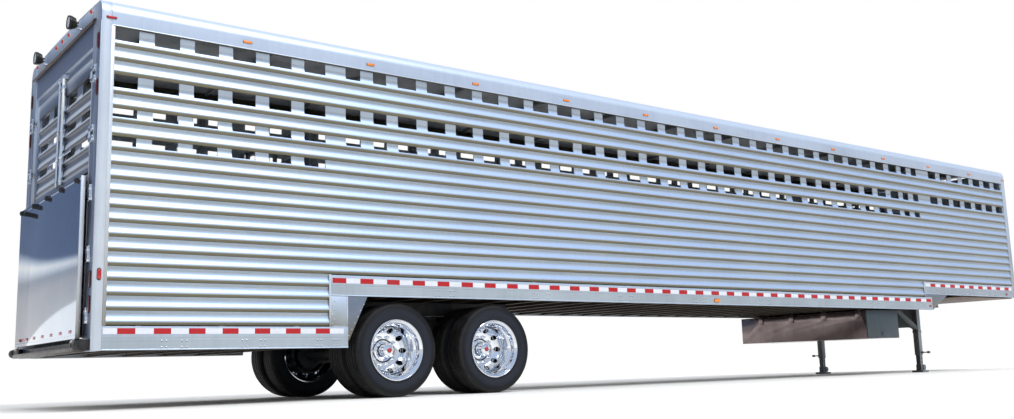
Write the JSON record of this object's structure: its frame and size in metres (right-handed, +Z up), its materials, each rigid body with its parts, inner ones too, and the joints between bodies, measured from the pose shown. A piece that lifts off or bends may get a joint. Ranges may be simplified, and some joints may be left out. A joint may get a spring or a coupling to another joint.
{
  "type": "livestock semi-trailer",
  "caption": "Long slatted aluminium livestock semi-trailer with punched air vents, a folding rear ramp over swinging doors, dual-wheel tandem axles, a belly toolbox and drop landing legs.",
  "frame": {"origin": "on the ground, under the middle of the bounding box", "axes": "+X forward towards the kingpin, +Y to the street (left) side, +Z up"},
  "size_m": [16.344, 2.613, 3.635],
  "materials": {
    "slat_aluminium": "satin",
    "rail_aluminium": "satin",
    "frame_aluminium": "mill",
    "floor_planks": "worn",
    "roof_skin": "satin",
    "gutter_bronze": "satin",
    "galvanised_steel": "galvanised",
    "black_rubber": "matt",
    "amber_lens": "gloss",
    "red_lens": "gloss",
    "retro_tape": "reflective",
    "bright_steel": "polished",
    "chassis_paint": "satin",
    "coupler_steel": "weathered",
    "kingpin_steel": "machined",
    "stainless_sheet": "polished",
    "box_door_paint": "satin",
    "tyre_rubber": "matt",
    "polished_wheel": "mirror polished",
    "lamp_housing": "satin"
  },
  "bodies": {
    "chassis": {"deck_floors": "floor_planks", "cross_members": "frame_aluminium", "bottom_rails": "rail_aluminium", "step_plates": "rail_aluminium", "slats_pit": "slat_aluminium", "slats_low": "slat_aluminium", "slats_vented": "slat_aluminium", "wall_stakes": "frame_aluminium", "roof_bows": "frame_aluminium", "roof_sheet": "roof_skin", "top_rails": "slat_aluminium", "rear_posts": "rail_aluminium", "nose_corners": "rail_aluminium", "nose_wall": "slat_aluminium", "rear_header": "rail_aluminium", "drip_gutter": "gutter_bronze", "rear_sill": "galvanised_steel", "dock_bumpers": "black_rubber", "amber_lamps": "amber_lens", "red_lamps": "red_lens", "reflective_tape": "retro_tape", "lamp_stems": "bright_steel", "bogie_frame": "chassis_paint", "axle_beams": "chassis_paint", "trailing_arms": "chassis_paint", "air_springs": "black_rubber", "shock_absorbers": "chassis_paint", "brake_chambers": "chassis_paint", "air_tank": "chassis_paint", "coupler_plate": "coupler_steel", "kingpin": "kingpin_steel", "air_couplings": "bright_steel", "toolbox": "stainless_sheet", "leg_housings": "chassis_paint", "leg_braces": "chassis_paint"},
    "ramp": {"ramp_frame": "frame_aluminium", "ramp_skin": "stainless_sheet", "ramp_deck": "black_rubber", "ramp_feet": "black_rubber"},
    "door_curb": {"door_curb": "slat_aluminium"},
    "door_street": {"door_street": "slat_aluminium"},
    "lock_rod_curb": {"lock_rod_curb": "bright_steel"},
    "lock_rod_street": {"lock_rod_street": "bright_steel"},
    "gate_curb": {"gate_curb": "frame_aluminium"},
    "gate_street": {"gate_street": "frame_aluminium"},
    "wheel_rear_curb": {"tyres_rear_curb": "tyre_rubber", "wheels_rear_curb": "polished_wheel"},
    "wheel_rear_street": {"tyres_rear_street": "tyre_rubber", "wheels_rear_street": "polished_wheel"},
    "wheel_front_curb": {"tyres_front_curb": "tyre_rubber", "wheels_front_curb": "polished_wheel"},
    "wheel_front_street": {"tyres_front_street": "tyre_rubber", "wheels_front_street": "polished_wheel"},
    "leg_curb": {"leg_curb": "galvanised_steel"},
    "leg_street": {"leg_street": "galvanised_steel"},
    "toolbox_door": {"toolbox_door": "box_door_paint"},
    "work_lamp_curb": {"work_lamp_curb": "lamp_housing"},
    "work_lamp_street": {"work_lamp_street": "lamp_housing"},
    "partition_rear": {"partition_rear": "frame_aluminium"},
    "partition_front": {"partition_front": "frame_aluminium"}
  },
  "joints": [
    {"name": "ramp_fold", "type": "hinge", "parent": "chassis", "child": "ramp", "pos_m": [-8.126, 0, 0.588], "axis": [0, -1, 0], "range_deg": [0, 113]},
    {"name": "door_curb_swing", "type": "hinge", "parent": "chassis", "child": "door_curb", "pos_m": [-8.062, -1.1, 2.6], "axis": [0, 0, 1], "range_deg": [0, 170]},
    {"name": "door_street_swing", "type": "hinge", "parent": "chassis", "child": "door_street", "pos_m": [-8.062, 1.1, 2.6], "axis": [0, 0, -1], "range_deg": [0, 170]},
    {"name": "lock_rod_curb_turn", "type": "hinge", "parent": "door_curb", "child": "lock_rod_curb", "pos_m": [-8.045, -0.077, 2.6], "axis": [0, 0, -1], "range_deg": [0, 90]},
    {"name": "lock_rod_street_turn", "type": "hinge", "parent": "door_street", "child": "lock_rod_street", "pos_m": [-8.045, 0.077, 2.6], "axis": [0, 0, 1], "range_deg": [0, 90]},
    {"name": "gate_curb_swing", "type": "hinge", "parent": "chassis", "child": "gate_curb", "pos_m": [-7.962, -1.034, 1.3], "axis": [0, 0, -1], "range_deg": [0, 90]},
    {"name": "gate_street_swing", "type": "hinge", "parent": "chassis", "child": "gate_street", "pos_m": [-7.962, 1.034, 1.3], "axis": [0, 0, 1], "range_deg": [0, 90]},
    {"name": "toolbox_door_lift", "type": "hinge", "parent": "chassis", "child": "toolbox_door", "pos_m": [3.832, -1.217, 0.988], "axis": [-1, 0, 0], "range_deg": [0, 90]},
    {"name": "work_lamp_curb_tilt", "type": "hinge", "parent": "chassis", "child": "work_lamp_curb", "pos_m": [-8.09, -0.64, 3.528], "axis": [0, 1, 0], "range_deg": [0, 25]},
    {"name": "work_lamp_street_tilt", "type": "hinge", "parent": "chassis", "child": "work_lamp_street", "pos_m": [-8.09, 0.64, 3.528], "axis": [0, 1, 0], "range_deg": [0, 25]},
    {"name": "partition_rear_swing", "type": "hinge", "parent": "chassis", "child": "partition_rear", "pos_m": [-5.628, 1.204, 2], "axis": [0, 0, 1], "range_deg": [0, 90]},
    {"name": "partition_front_swing", "type": "hinge", "parent": "chassis", "child": "partition_front", "pos_m": [4.912, 1.204, 2], "axis": [0, 0, -1], "range_deg": [0, 90]},
    {"name": "wheel_rear_curb_roll", "type": "hinge", "parent": "chassis", "child": "wheel_rear_curb", "pos_m": [-5.045, -1.15, 0.476], "axis": [0, 1, 0], "continuous": true},
    {"name": "wheel_rear_street_roll", "type": "hinge", "parent": "chassis", "child": "wheel_rear_street", "pos_m": [-5.045, 1.15, 0.476], "axis": [0, 1, 0], "continuous": true},
    {"name": "wheel_front_curb_roll", "type": "hinge", "parent": "chassis", "child": "wheel_front_curb", "pos_m": [-3.8, -1.15, 0.476], "axis": [0, 1, 0], "continuous": true},
    {"name": "wheel_front_street_roll", "type": "hinge", "parent": "chassis", "child": "wheel_front_street", "pos_m": [-3.8, 1.15, 0.476], "axis": [0, 1, 0], "continuous": true},
    {"name": "leg_curb_slide", "type": "slide", "parent": "chassis", "child": "leg_curb", "axis": [0, 0, 1], "range_m": [0, 0.15]},
    {"name": "leg_street_slide", "type": "slide", "parent": "chassis", "child": "leg_street", "axis": [0, 0, 1], "range_m": [0, 0.15]}
  ]
}
